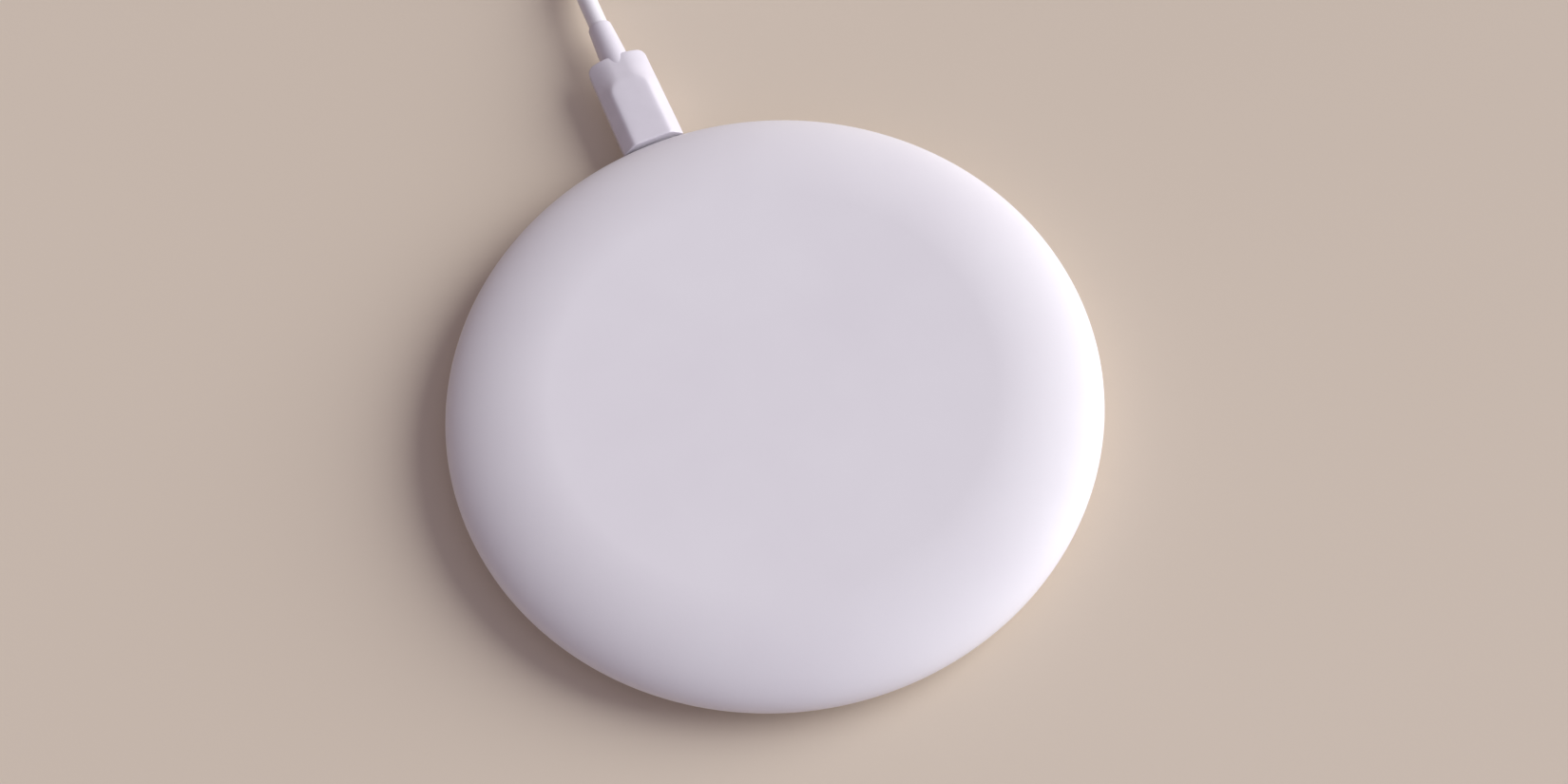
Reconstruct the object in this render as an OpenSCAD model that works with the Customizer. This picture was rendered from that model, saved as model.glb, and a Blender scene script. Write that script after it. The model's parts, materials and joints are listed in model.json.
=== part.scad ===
// Round wireless charging pad with a plugged-in USB-C cable, as separate pieces.
// Millimetres. +Z is up, the pad stands on its foot ring at z = 0, and its socket looks along +Y.

/* [Pad] */
// Diameter of the pad at its widest rim
pad_d = 110; // [106:1:120]
// Height of the pad, foot included
pad_h = 12; // [11.8:0.1:14]
// Height of the widest rim
rim_z = 5.6; // [5.4:0.1:6]
// Horizontal run of the rounded shoulder, from the flat top to the rim
shoulder_run = 18; // [12:0.5:18]
// Horizontal run of the curved underside, from the flat base to the rim
under_run = 11; // [10.5:0.5:12]
// Height of the parting line between the upper and the lower shell
part_z = 3; // [2.9:0.05:3.1]

/* [Walls] */
// Thickness of the soft outer skin
skin_t = 0.8; // [0.6:0.1:1]
// Thickness of the top cover under the skin
cover_t = 1.2; // [1:0.1:1.4]
// Thickness of the base cover
base_t = 1.5; // [1.4:0.1:1.6]

/* [Foot ring] */
// How far the foot ring stands below the base cover
foot_h = 0.8; // [0.6:0.1:0.9]
// Width of the foot ring
foot_w = 8; // [6:0.5:9]

/* [Charging coil] */
// Number of turns in the flat charging coil
coil_turns = 10; // [8:1:12]
// Radius of the coil's open centre
coil_in_r = 11; // [9:0.5:11]
// Diameter of the stranded coil wire
wire_d = 1.06; // [0.8:0.02:1.08]

/* [Cable] */
// Width of the plug's moulded grip
grip_w = 11; // [10.8:0.1:12]
// Height of the plug's moulded grip
grip_h = 6; // [5.6:0.1:6.6]
// Length of the plug's moulded grip
grip_l = 19; // [16:0.2:20]
// Diameter of the cord
cord_d = 3.4; // [3:0.1:3.4]

/* [Hidden] */
$fn = 64;

// Overlap that joins one shape into another of the same piece
sink = 0.3;
// Overshoot of a cutting shape past the face that it cuts
over = 1;
// Clearance of a piece that fits closely inside another, across its whole width
fit_gap = 0.04;
// Clearance of a piece that lies loosely in its place, and of two faces that only lie near each other
loose_gap = 0.3;
face_gap = 0.1;
// Room past the tip of a screw
tip_gap = 0.2;
// Steps along each rounded stretch of the pad's outline
arc_steps = 20;

// Pad outline
pad_r = pad_d / 2;
flat_r = pad_r - shoulder_run;
base_r = pad_r - under_run;
ceiling_z = pad_h - skin_t - cover_t;

// Foot ring and the channel that it sits in
foot_out_r = base_r - 3;
foot_in_r = foot_out_r - foot_w;
channel_top = foot_h + 0.6;

// Lip of the base cover that stands inside the top cover
lip_r = pad_r - 9;
lip_t = 1.1;
lip_bottom = 2.2;
lip_top = 4.9;

// Case screws, under the foot ring
case_screw_r = base_r - 7;
case_screw_angles = [45, 135, 225, 315];
case_head_d = 3.6;
case_head_z = channel_top + face_gap;
case_head_h = 1.1;
case_shank_d = 2;
case_shank_l = 5.4;
case_seat_z = case_head_z + case_head_h;
case_boss_z = case_seat_z + 1;
case_boss_d = 6.4;
case_nut_d = 5;
boss_root_z = 2;

// Stack under the ceiling: adhesive, coil, ferrite and shield, from the top down
adhesive_t = 0.2;
coil_pitch = 1.1;
coil_web_t = 0.4;
ferrite_t = 1.2;
ferrite_r = 25;
shield_t = 0.8;
shield_r = 29;
coil_out_r = coil_in_r + coil_turns * coil_pitch;
coil_z = ceiling_z - adhesive_t - coil_pitch / 2;
ferrite_top = coil_z - coil_pitch / 2;
shield_top = ferrite_top - ferrite_t;
shield_bottom = shield_top - shield_t;
ring_in_r = ferrite_r + 0.6;
ring_out_r = ring_in_r + 1.2;

// Ears of the shield plate and their screws
ear_r = 31.5;
ear_w = 6;
ear_boss_d = 4.5;
ear_angles = [30, 150, 270];
shield_head_d = 3;
shield_head_h = 0.9;
shield_shank_d = 1.4;
shield_shank_l = 3;

// Slot of the leads in the ferrite and in the shield's edge
slot_x = -2.7;
slot_w = 3.5;
slot_y = 8.8;
notch_x = -3.2;
notch_w = 6.4;
notch_y = 26.9;
lead_d = 1;
lead_drop_y = 28.2;
sensor_wire_d = 0.4;
sensor_d = 2.2;

// Height of the socket's axis, and of the socket, which stands on the board
port_z = 5;
socket_h = 3.26;

// Circuit board
board_t = 0.8;
board_top = port_z - socket_h / 2;
board_bottom = board_top - board_t;
board_half_w = 21;
board_y = 8;
board_r = pad_r - 9.2;
tongue_half_w = 6.5;
tongue_y = pad_r - 3.6;
tongue_root = 5;
board_screws_at = [[-18, 11.5], [18, 11.5], [-18, 25], [18, 25]];
board_props_at = [[-9, 43], [9, 43]];
board_boss_d = 5;
board_prop_d = 4;
board_hole_d = 2;
board_shank_d = 1.6;
board_shank_l = 1.6;
board_hole_bottom = 1.6;
board_head_d = 3.4;
board_head_h = 1;

// Room in both covers for the board's tongue and for the socket's tabs above it
board_room_y = pad_r - 11;
board_room_end_y = tongue_y + loose_gap;
board_room_w = 2 * tongue_half_w + 1;
board_room_z = board_bottom - face_gap;
board_room_top = port_z - 1;

// Parts on the board: the places of their centres, and their width, length and height
chip_h = 0.9;
controller_at = [0, 18];
controller_w = 6;
dot_in = 0.8;
dot_d = 0.6;
mark_h = 0.1;
transistors_at = [for (x = [-9, 9], y = [13.5, 18.5]) [x, y]];
transistor_w = 3.3;
resonant_at = [for (x = [-13, -8.5, 8.5, 13]) [x, 24]];
resonant_size = [3.2, 2.5, 2];
input_at = [for (x = [-14, -10, -6]) [x, 38]];
input_size = [3.2, 1.6, 1.6];
resistors_at = [for (x = [-15, -12.5, -10, -7.5], y = [29, 31, 33]) [x, y]];
resistor_size = [1.6, 0.8, 0.45];
inductor_at = [11, 35];
inductor_w = 6.6;
inductor_h = 2.4;
inductor_r = 1;
inductor_dish = [4, 0.2];
crystal_at = [-15, 18];
crystal_size = [3.2, 2.5, 0.8];
crystal_r = 0.3;
thermal_pad_y = 16;
thermal_pad_size = [21, 9];

// USB-C socket, its axis along +Y
socket_w = 8.94;
socket_wall = 0.3;
socket_mouth_y = pad_r - 0.5;
socket_l = 7.3;
socket_back_y = socket_mouth_y - socket_l;
tab_y = [0.8, 2.8];
tab_x = socket_w / 2 - socket_wall / 2;
tab_l = 1;
tab_gap = 0.15;
tail_l = 0.9;
tail_t = 0.12;
port_w = 9.4;
port_h = 3.5;
port_l = 12;
block_l = 0.8;
tongue_w = 6.69;
tongue_l = 5.6;
tongue_t = 0.7;
contact_w = 0.25;
contact_pitch = 0.5;
contacts = 12;
contact_t = 0.08;
contact_l = 4.4;
contact_in = 0.6;

// USB-C plug
grip_y = pad_r + 0.1;
nose_l = 6.65;
nose_y = grip_y - nose_l;
nose_w = 8.25;
nose_h = 2.4;
nose_wall = 0.3;
nose_hold = 3;
slot_half_h = 0.5;
plug_slot_w = 6.9;
plug_slot_l = 5.6;
plug_contact_z = 0.46;
plug_contact_t = 0.16;
groove_y = 0.5;
groove_z = plug_contact_z + plug_contact_t + fit_gap / 2;
plug_block_in = 0.2;
plug_block_y = nose_y + plug_block_in;
plug_block_l = 7.6;
plug_contact_y = plug_block_y + 0.8;
plug_contact_l = plug_block_l + 0.6;
plug_board_y = plug_block_y + plug_block_l + face_gap;
plug_board_l = 7;
plug_board_w = 7.4;
plug_board_t = 0.8;
pocket_w = 7.6;
pocket_h = 1.9;
pocket_end_y = plug_board_y + plug_board_l + loose_gap;
grip_bevel = [2, 2];
grip_slope_l = 5.8;
grip_rear_h = grip_h - 1.6;
grip_corner = 1.2;
grip_end_y = grip_y + grip_l;
relief_l = 7.8;
relief_d = 5.2;
relief_tip_d = 4.2;
relief_tip_y = grip_end_y + relief_l;

// Height of the far plug's axis
usb_a_axis_z = 4;

// Cord: a lead, a round coil of two layers, and a tail to the far plug
cord_sides = 8;
lead_route = [
    [0, relief_tip_y, port_z],
    [0, relief_tip_y + 3.5, port_z],
    [0.1, relief_tip_y + 7.5, 4.7],
    [0.4, relief_tip_y + 11.5, 4],
    [0.9, relief_tip_y + 15.5, 3.1],
    [1.5, relief_tip_y + 19.5, 2.3],
    [2, relief_tip_y + 23.5, 1.85],
    [2.4, relief_tip_y + 28, cord_d / 2]
];
coil_x = 27.7;
coil_y = relief_tip_y + 36;
bundle_r = 20.2;
bundle_columns = 4;
bundle_layers = 2;
bundle_w = bundle_columns * cord_d;
bundle_h = bundle_layers * cord_d;
tail_start_y = coil_y + bundle_r + bundle_w / 2 - cord_d / 2;
tail_route = [
    [coil_x, tail_start_y, 5.1],
    [coil_x + 5, tail_start_y - 0.4, 5.1],
    [coil_x + 10, tail_start_y - 1.7, 5.1],
    [coil_x + 15, tail_start_y - 3.9, 5],
    [coil_x + 20, tail_start_y - 6.9, 4.7],
    [coil_x + 25, tail_start_y - 10.7, 4.3],
    [coil_x + 30, tail_start_y - 15, usb_a_axis_z],
    [coil_x + 34.5, tail_start_y - 19.5, usb_a_axis_z]
];

// Tie round the coil's bundle
tie_w = 6;
tie_t = 0.7;
tie_gap = 0.4;
tie_h = bundle_h + 2 * tie_t;
tie_angle = 135;

// USB-A plug at the far end, built along +X and turned
usb_a_turn = -45;
usb_a_relief_l = 6;
usb_a_relief_d = 5.6;
usb_a_grip_l = 22;
usb_a_grip_w = 16;
usb_a_grip_h = 8;
usb_a_bevel = [2.5, 2];
usb_a_slope_l = 6;
usb_a_rear_h = 5.8;
usb_a_corner = 2;
usb_a_block_t = 1.9;
usb_a_block_in = 0.4;
usb_a_contact_x = 3;
usb_a_contact_y = [-3.5, -1, 1, 3.5];
usb_a_contact_size = [7.8, 1, 0.1];
usb_a_window = [2.5, 2.3];
usb_a_window_x = 5.2;
usb_a_window_y = 2.8;
usb_a_w = 12;
usb_a_h = 4.5;
usb_a_wall = 0.3;
usb_a_l = 12;
usb_a_hold = 4;
usb_a_front = usb_a_relief_l + usb_a_grip_l;
usb_a_block_w = usb_a_w - 2 * usb_a_wall - fit_gap;
usb_a_block_z = usb_a_wall + fit_gap / 2 - usb_a_h / 2;

// Colours
white = [0.93, 0.92, 0.93];
lilac_white = [0.86, 0.84, 0.88];
grey = [0.55, 0.56, 0.58];
steel = [0.75, 0.76, 0.78];
copper = [0.72, 0.42, 0.22];
gold = [0.86, 0.7, 0.36];
black = [0.1, 0.1, 0.11];
green = [0.08, 0.33, 0.2];
sand = [0.7, 0.6, 0.45];

// ---------- helpers ----------

// Points of an elliptical arc, numbered from first
function arc(cx, cz, a, b, from, to, first = 0) =
    [for (i = [first : arc_steps]) let (t = from + (to - from) * i / arc_steps)
        [cx + a * cos(t), cz + b * sin(t)]];

// Half section of the whole pad, moved inwards by inset
module outline(inset)
    polygon(concat(
        [[0, foot_h + inset]],
        arc(base_r, rim_z, under_run - inset, rim_z - foot_h - inset, -90, 0),
        arc(flat_r, rim_z, shoulder_run - inset, pad_h - rim_z - inset, 0, 90, 1),
        [[0, pad_h - inset]]
    ));

// Hollow shell between two insets of the outline, from z_low to z_high
module shell(outer, inner, z_low, z_high)
    rotate_extrude()
        intersection() {
            difference() {
                outline(outer);
                outline(inner);
            }
            translate([0, z_low]) square([pad_d, z_high - z_low]);
        }

module ring(r_in, r_out, z_low, z_high)
    rotate_extrude()
        translate([r_in, z_low]) square([r_out - r_in, z_high - z_low]);

// Round post or hole along Z, between two heights
module post(d, z_low, z_high) translate([0, 0, z_low]) cylinder(d = d, h = z_high - z_low);

module around(r, angles) for (a = angles) rotate([0, 0, a]) translate([r, 0, 0]) children();

module at_each(places) for (p = places) translate([p.x, p.y, 0]) children();

// Box given by its centre in X and Y, standing on z_low
module block(x, y, w, l, z_low, h) translate([x - w / 2, y - l / 2, z_low]) cube([w, l, h]);

// Extrudes a flat shape along +Y, centred on the port's axis
module along_y(y, length) translate([0, y, port_z]) rotate([-90, 0, 0]) linear_extrude(length) children();

module stadium(w, h) {
    square([w - h, h], center = true);
    for (side = [-1, 1]) translate([side * (w - h) / 2, 0]) circle(d = h);
}

module rounded_box(w, l, r, h)
    linear_extrude(h) {
        square([w - 2 * r, l], center = true);
        square([w, l - 2 * r], center = true);
        for (x = [-1, 1], y = [-1, 1])
            translate([x * (w / 2 - r), y * (l / 2 - r)]) circle(r = r);
    }

// Pan-head screw: its head from z = 0 to head_h, its shank above, and a cross recess in the head
module screw(head_d, head_h, shank_d, shank_l) {
    recess = head_d * 0.55;
    recess_w = head_d * 0.14;
    recess_h = head_h * 0.5;
    crown_d = head_d * 0.86;
    crown_h = head_h * 0.4;
    difference() {
        union() {
            cylinder(d1 = crown_d, d2 = head_d, h = crown_h);
            translate([0, 0, crown_h]) cylinder(d = head_d, h = head_h - crown_h);
            translate([0, 0, head_h]) cylinder(d = shank_d, h = shank_l);
        }
        for (turn = [0, 90]) rotate([0, 0, turn])
            translate([-recess / 2, -recess_w / 2, -over]) cube([recess, recess_w, recess_h + over]);
    }
}

// Round wire through points, with ball joints at its bends
module wire(points, d)
    for (i = [1 : len(points) - 1]) {
        v = points[i] - points[i - 1];
        translate(points[i - 1])
            rotate([0, acos(v.z / norm(v)), atan2(v.y, v.x)]) cylinder(d = d, h = norm(v));
        if (i < len(points) - 1) translate(points[i]) sphere(d = d);
    }

// Place of one contact across the row
function contact_x(i) = (i - (contacts - 1) / 2) * contact_pitch;

// Row of flat contact strips, above and below the port's axis
module contact_rows(y, length, z_in, t)
    for (side = [-1, 1], i = [0 : contacts - 1])
        block(contact_x(i), y + length / 2, contact_w, length, port_z + (side > 0 ? z_in : -z_in - t), t);

function unit(v) = v / norm(v);
function heading(route, i) = unit(route[min(i + 1, len(route) - 1)] - route[max(i - 1, 0)]);

// One ring of a tube's skin, square to the route
function tube_ring(route, i, d) =
    let (t = heading(route, i), side = unit(cross(t, [0, 0, 1])), up = cross(side, t))
    [for (k = [0 : cord_sides - 1]) let (a = 360 * (k + 0.5) / cord_sides)
        route[i] + d / 2 * (cos(a) * side + sin(a) * up)];

module tube(route, d) {
    n = cord_sides;
    last = len(route) - 1;
    polyhedron(
        points = [for (i = [0 : last]) each tube_ring(route, i, d)],
        faces = concat(
            [[for (k = [0 : n - 1]) n - 1 - k]],
            [for (i = [0 : last - 1], k = [0 : n - 1]) let (m = (k + 1) % n)
                [i * n + k, i * n + m, (i + 1) * n + m, (i + 1) * n + k]],
            [[for (k = [0 : n - 1]) last * n + k]]
        )
    );
}

// Moulded grip along +Y: a bar with bevelled long edges, whose rear end slopes down to the cord
module bevelled_bar(w, h, length, bevel, slope_l, rear_h, corner) {
    x = w / 2;
    z = h / 2;
    flat_x = x - bevel.x;
    edge_z = z - bevel.y;
    intersection() {
        rotate([-90, 0, 0]) linear_extrude(length)
            polygon([
                [-x, -edge_z], [-flat_x, -z], [flat_x, -z], [x, -edge_z],
                [x, edge_z], [flat_x, z], [-flat_x, z], [-x, edge_z]
            ]);
        rotate([0, 90, 0]) linear_extrude(w, center = true)
            polygon([
                [-z, 0], [-z, length - slope_l], [-rear_h / 2, length],
                [rear_h / 2, length], [z, length - slope_l], [z, 0]
            ]);
        translate([0, length / 2, -h]) rounded_box(w, length, corner, 2 * h);
    }
}

// ---------- casing ----------

module port_cut() along_y(pad_r - port_l, port_l + over) stadium(port_w, port_h);

// Room for the board's tongue under the socket, up to z_high
module board_room(z_high)
    block(
        0, (board_room_y + board_room_end_y) / 2, board_room_w, board_room_end_y - board_room_y,
        board_room_z, z_high - board_room_z
    );

module soft_skin()
    color(white)
        difference() {
            shell(0, skin_t, part_z, pad_h + over);
            port_cut();
        }

module top_cover()
    color(white)
        difference() {
            union() {
                shell(skin_t, skin_t + cover_t, part_z, pad_h + over);
                ring(ring_in_r, ring_out_r, shield_top, ceiling_z + sink);
                around(case_screw_r, case_screw_angles) post(case_nut_d, case_boss_z, ceiling_z + sink);
                around(ear_r, ear_angles) post(ear_boss_d, shield_top, ceiling_z + sink);
            }
            port_cut();
            board_room(board_room_top);
            // Way of the coil leads through the locating ring
            translate([notch_x, ring_in_r - over, shield_top - over])
                cube([notch_w, ring_out_r - ring_in_r + 2 * over, ceiling_z - shield_top + over]);
            around(case_screw_r, case_screw_angles)
                post(case_shank_d + fit_gap, case_boss_z - over, case_seat_z + case_shank_l + tip_gap);
            around(ear_r, ear_angles)
                post(shield_shank_d + fit_gap, shield_top - over, shield_bottom + shield_shank_l + tip_gap);
        }

module base_cover()
    color(white)
        difference() {
            union() {
                shell(0, base_t, foot_h - over, part_z);
                ring(lip_r, lip_r + lip_t, lip_bottom, lip_top);
                around(case_screw_r, case_screw_angles) post(case_boss_d, boss_root_z, case_boss_z);
                at_each(board_screws_at) post(board_boss_d, boss_root_z, board_bottom);
                at_each(board_props_at) post(board_prop_d, boss_root_z, board_bottom);
            }
            ring(foot_in_r, foot_out_r, foot_h - over, channel_top);
            around(case_screw_r, case_screw_angles) {
                post(case_head_d + loose_gap, channel_top - over, case_seat_z);
                post(case_shank_d + loose_gap, channel_top, case_boss_z + over);
            }
            at_each(board_screws_at) post(board_shank_d + fit_gap, board_hole_bottom, board_bottom + over);
            board_room(lip_top + over);
        }

module foot_ring() {
    r_in = foot_in_r + fit_gap;
    r_out = foot_out_r - fit_gap;
    edge = 0.25;
    color(grey)
        rotate_extrude()
            polygon([
                [r_in, channel_top], [r_in, edge], [r_in + edge, 0],
                [r_out - edge, 0], [r_out, edge], [r_out, channel_top]
            ]);
}

module case_screws()
    color(steel)
        around(case_screw_r, case_screw_angles)
            translate([0, 0, case_head_z]) screw(case_head_d, case_head_h, case_shank_d, case_shank_l);

// ---------- charging stack ----------

// Flat spiral, as touching turns held in one thin web
module charging_coil()
    color(copper)
        rotate_extrude() {
            for (i = [0 : coil_turns - 1])
                translate([coil_in_r + (i + 0.5) * coil_pitch, coil_z]) circle(d = wire_d);
            translate([coil_in_r + coil_pitch / 2, coil_z - coil_web_t / 2])
                square([(coil_turns - 1) * coil_pitch, coil_web_t]);
        }

module coil_adhesive() color(lilac_white) ring(coil_in_r, coil_out_r, ceiling_z - adhesive_t, ceiling_z);

module ferrite_plate()
    color(black)
        difference() {
            post(2 * ferrite_r, shield_top, ferrite_top);
            translate([slot_x, slot_y, shield_top - over]) cube([slot_w, ferrite_r, ferrite_t + 2 * over]);
        }

module shield_plate()
    color(steel)
        difference() {
            union() {
                post(2 * shield_r, shield_bottom, shield_top);
                around(ear_r, ear_angles) {
                    post(ear_w, shield_bottom, shield_top);
                    translate([-ear_w, -ear_w / 2, shield_bottom]) cube([ear_w, ear_w, shield_t]);
                }
            }
            translate([notch_x, notch_y, shield_bottom - over])
                cube([notch_w, shield_r, shield_t + 2 * over]);
            around(ear_r, ear_angles)
                post(shield_shank_d + loose_gap, shield_bottom - over, shield_top + over);
        }

module shield_screws()
    color(steel)
        around(ear_r, ear_angles)
            translate([0, 0, shield_bottom - shield_head_h])
                screw(shield_head_d, shield_head_h, shield_shank_d, shield_shank_l);

// Two coil ends: the outer one over the ferrite, the inner one through its slot
module coil_leads() {
    slot_z = (shield_top + ferrite_top) / 2;
    outer_x = 2.2;
    outer_y = coil_out_r + face_gap;
    inner_x = -1.9;
    inner_y = coil_in_r - 0.6;
    color(copper) {
        wire([
            [outer_x, outer_y, coil_z], [outer_x, lead_drop_y, coil_z],
            [outer_x, lead_drop_y, board_top]
        ], lead_d);
        wire([
            [inner_x, inner_y, slot_z], [inner_x, lead_drop_y, slot_z],
            [inner_x, lead_drop_y, board_top]
        ], lead_d);
    }
}

// Heat sensor in the coil's open centre, and its two thin wires
module thermistor() {
    bead_y = 5;
    bead_z = ceiling_z - 1;
    slot_z = (shield_top + ferrite_top) / 2;
    wire_x = 0.35;
    wire_y = bead_y + 0.8;
    wire_z = bead_z + 0.3;
    dip_y = slot_y + 0.6;
    drop_y = lead_drop_y - 0.6;
    color(black) translate([0, bead_y, 0]) post(sensor_d, bead_z, ceiling_z);
    color(steel)
        for (x = [-wire_x, wire_x])
            wire([
                [x, wire_y, wire_z], [x, dip_y, wire_z], [x, dip_y, slot_z],
                [x, drop_y, slot_z], [x, drop_y, board_top]
            ], sensor_wire_d);
}

// ---------- circuit board ----------

module circuit_board()
    color(green)
        translate([0, 0, board_bottom]) linear_extrude(board_t)
            difference() {
                union() {
                    intersection() {
                        translate([-board_half_w, board_y]) square([2 * board_half_w, board_r]);
                        circle(r = board_r);
                    }
                    translate([-tongue_half_w, board_r - tongue_root])
                        square([2 * tongue_half_w, tongue_y - board_r + tongue_root]);
                }
                for (p = board_screws_at) translate(p) circle(d = board_hole_d);
                for (side = [-1, 1], y = tab_y)
                    translate([side * tab_x, socket_back_y + y + tab_l / 2])
                        square([socket_wall + 2 * tab_gap, tab_l + 2 * tab_gap], center = true);
            }

module board_screws()
    color(steel)
        at_each(board_screws_at)
            translate([0, 0, board_top + board_head_h]) rotate([180, 0, 0])
                screw(board_head_d, board_head_h, board_shank_d, board_shank_l);

module controller_chip() {
    dot = controller_at + [-1, 1] * (controller_w / 2 - dot_in);
    color(black)
        difference() {
            block(controller_at.x, controller_at.y, controller_w, controller_w, board_top, chip_h);
            translate([dot.x, dot.y, board_top + chip_h - mark_h]) cylinder(d = dot_d, h = over);
        }
}

module power_transistors()
    color(black)
        for (p = transistors_at) block(p.x, p.y, transistor_w, transistor_w, board_top, chip_h);

// Ceramic block with a metal cap on each end
module capped_part(at, size) {
    cap_w = 0.2 * size.x;
    body_h = 0.96 * size.z;
    color(sand) block(at.x, at.y, size.x - 2 * cap_w, size.y, board_top, body_h);
    color(steel)
        for (side = [-1, 1])
            block(at.x + side * (size.x - cap_w) / 2, at.y, cap_w, size.y, board_top, size.z);
}

module resonant_capacitors() for (p = resonant_at) capped_part(p, resonant_size);

module input_capacitors() for (p = input_at) capped_part(p, input_size);

module chip_resistors() for (p = resistors_at) capped_part(p, resistor_size);

module power_inductor()
    color(grey)
        translate([inductor_at.x, inductor_at.y, board_top])
            difference() {
                rounded_box(inductor_w, inductor_w, inductor_r, inductor_h);
                translate([0, 0, inductor_h - inductor_dish[1]]) cylinder(d = inductor_dish[0], h = over);
            }

module crystal()
    color(steel)
        translate([crystal_at.x, crystal_at.y, board_top])
            rounded_box(crystal_size.x, crystal_size.y, crystal_r, crystal_size.z);

// Soft pad that takes heat from the chips up to the shield plate
module thermal_pad() {
    low = board_top + chip_h;
    color(lilac_white)
        block(0, thermal_pad_y, thermal_pad_size.x, thermal_pad_size.y, low, shield_bottom - low);
}

// ---------- USB-C socket ----------

module socket_shell()
    color(steel) {
        difference() {
            along_y(socket_back_y, socket_l) stadium(socket_w, socket_h);
            along_y(socket_back_y + socket_wall, socket_l)
                stadium(socket_w - 2 * socket_wall, socket_h - 2 * socket_wall);
        }
        // Tabs that are soldered through the board
        for (side = [-1, 1], y = tab_y)
            block(
                side * tab_x, socket_back_y + y + tab_l / 2, socket_wall, tab_l,
                board_bottom, port_z - board_bottom
            );
    }

module socket_tongue()
    color(black) {
        along_y(socket_back_y + socket_wall, block_l)
            stadium(socket_w - 2 * socket_wall - fit_gap, socket_h - 2 * socket_wall - fit_gap);
        along_y(socket_back_y + socket_wall + block_l - sink, tongue_l + sink)
            square([tongue_w, tongue_t], center = true);
    }

module socket_contacts()
    color(gold) {
        contact_rows(
            socket_back_y + socket_wall + block_l + contact_in, contact_l, tongue_t / 2, contact_t
        );
        // Solder tails behind the socket
        for (i = [0 : contacts - 1])
            block(contact_x(i), socket_back_y - tail_l / 2, contact_w, tail_l, board_top, tail_t);
    }

// ---------- USB-C plug ----------

module plug_shell()
    color(steel)
        difference() {
            along_y(nose_y, nose_l + nose_hold) stadium(nose_w, nose_h);
            along_y(nose_y - over, nose_l + nose_hold + 2 * over)
                stadium(nose_w - 2 * nose_wall, nose_h - 2 * nose_wall);
        }

module plug_insulator()
    color(black)
        difference() {
            along_y(plug_block_y, plug_block_l)
                stadium(nose_w - 2 * nose_wall - fit_gap, nose_h - 2 * nose_wall - fit_gap);
            along_y(plug_block_y - over, plug_slot_l + over)
                square([plug_slot_w, 2 * slot_half_h], center = true);
            // Grooves that hold the contacts
            for (i = [0 : contacts - 1])
                block(
                    contact_x(i), plug_block_y + groove_y + plug_block_l / 2,
                    contact_w + fit_gap, plug_block_l, port_z - groove_z, 2 * groove_z
                );
        }

module plug_contacts()
    color(gold) contact_rows(plug_contact_y, plug_contact_l, plug_contact_z, plug_contact_t);

module plug_board()
    color(green)
        block(
            0, plug_board_y + plug_board_l / 2, plug_board_w, plug_board_l,
            port_z - plug_board_t / 2, plug_board_t
        );

module plug_grip()
    color(white)
        difference() {
            translate([0, grip_y, port_z])
                bevelled_bar(grip_w, grip_h, grip_l, grip_bevel, grip_slope_l, grip_rear_h, grip_corner);
            along_y(grip_y - over, nose_hold + over) stadium(nose_w, nose_h);
            // Room for the little board and the wires' ends
            block(
                0, (grip_y + pocket_end_y) / 2, pocket_w, pocket_end_y - grip_y,
                port_z - pocket_h / 2, pocket_h
            );
        }

module plug_strain_relief()
    color(white)
        translate([0, grip_end_y, port_z]) rotate([-90, 0, 0])
            cylinder(d1 = relief_d, d2 = relief_tip_d, h = relief_l);

// ---------- cord ----------

module cord_lead() color(white) tube(lead_route, cord_d);

// Puts a shape at the tie's place on the coil, with X pointing outwards
module at_tie()
    translate([coil_x, coil_y, 0]) rotate([0, 0, tie_angle]) translate([bundle_r, 0, 0]) children();

// Outer shape of the wound cord: two layers of turns side by side
module cord_coil() {
    r = cord_d / 2;
    side = bundle_w / 2 - r;
    color(white)
        difference() {
            translate([coil_x, coil_y, 0]) rotate_extrude() translate([bundle_r, 0]) {
                translate([-side, 0]) square([2 * side, bundle_h]);
                translate([-bundle_w / 2, r]) square([bundle_w, bundle_h - 2 * r]);
                for (x = [-side, side], z = [r, bundle_h - r]) translate([x, z]) circle(r = r);
            }
            // The tie passes under the bundle
            at_tie() block(0, 0, 2 * bundle_w, tie_w, -over, tie_t + over);
        }
}

module cord_tie()
    color(grey)
        at_tie()
            difference() {
                block(0, 0, bundle_w + 2 * (tie_gap + tie_t), tie_w, 0, tie_h);
                block(0, 0, bundle_w + 2 * tie_gap, 2 * tie_w, tie_t, tie_h - 2 * tie_t);
            }

module cord_tail() color(white) tube(tail_route, cord_d);

// ---------- USB-A plug ----------

module at_usb_a()
    translate(tail_route[len(tail_route) - 1]) rotate([0, 0, usb_a_turn]) children();

module usb_a_strain_relief()
    color(white) at_usb_a() rotate([0, 90, 0])
        cylinder(d1 = relief_tip_d, d2 = usb_a_relief_d, h = usb_a_relief_l);

module usb_a_grip()
    color(white) at_usb_a()
        difference() {
            translate([usb_a_front, 0, 0]) rotate([0, 0, 90])
                bevelled_bar(
                    usb_a_grip_w, usb_a_grip_h, usb_a_grip_l,
                    usb_a_bevel, usb_a_slope_l, usb_a_rear_h, usb_a_corner
                );
            translate([usb_a_front - usb_a_hold, -usb_a_w / 2, -usb_a_h / 2])
                cube([usb_a_hold + over, usb_a_w, usb_a_h]);
        }

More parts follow.
